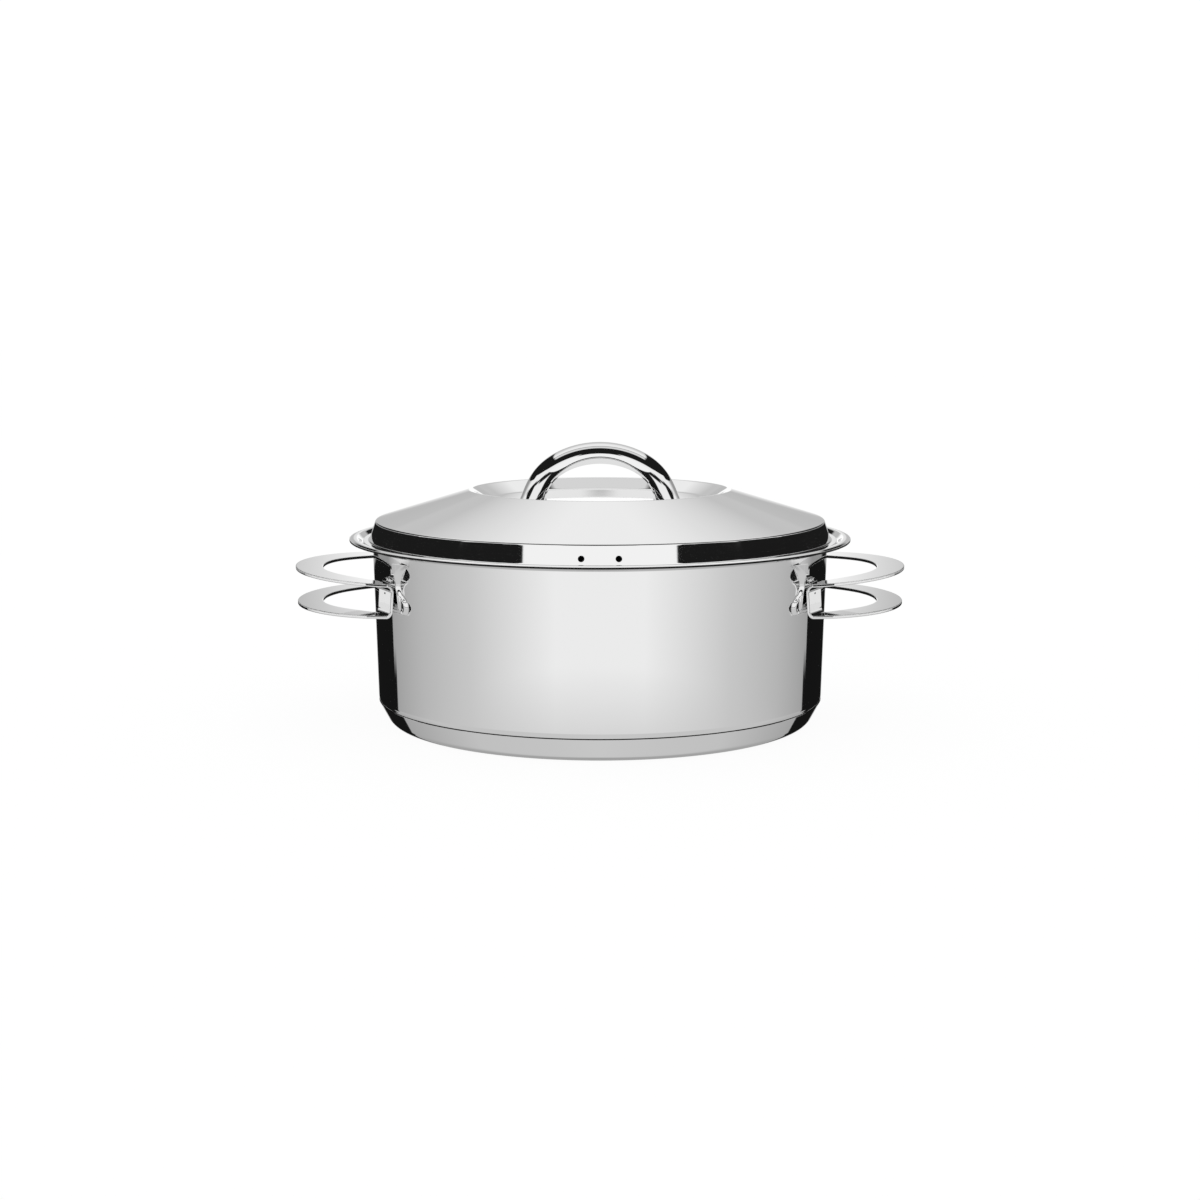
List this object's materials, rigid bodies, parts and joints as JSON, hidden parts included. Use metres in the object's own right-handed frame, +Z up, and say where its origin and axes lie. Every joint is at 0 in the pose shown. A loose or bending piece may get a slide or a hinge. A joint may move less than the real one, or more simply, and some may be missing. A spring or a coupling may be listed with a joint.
{
  "type": "casserole pot",
  "caption": "Low round casserole pot with a capsule base, stepped rim, loop handles of bent sheet on stamped brackets, and a lift-off lid with steam vents and an arched grip in its centre dish.",
  "frame": {"origin": "middle of the flat underside of the base, on the surface the pot stands on", "axes": "+Z up along the pot's axis, X through the two side handles, -Y towards the front with the steam vents"},
  "size_m": [0.3244, 0.266, 0.1484],
  "materials": {
    "polished_steel": "mirror polished",
    "lid_steel": "mirror polished",
    "handle_steel": "polished, fine grained",
    "aluminium_core": "bare"
  },
  "bodies": {
    "pot": {"pot_body": "polished_steel", "base_core": "aluminium_core", "base_cap": "polished_steel", "left_handle": "handle_steel", "right_handle": "handle_steel", "left_front_bracket": "polished_steel", "left_back_bracket": "polished_steel", "right_front_bracket": "polished_steel", "right_back_bracket": "polished_steel"},
    "lid": {"lid_shell": "lid_steel", "lid_grip": "lid_steel"}
  },
  "joints": [
    {"name": "lid_lift", "type": "slide", "parent": "pot", "child": "lid", "axis": [0, 0, 1], "range_m": [0, 0.2]}
  ]
}
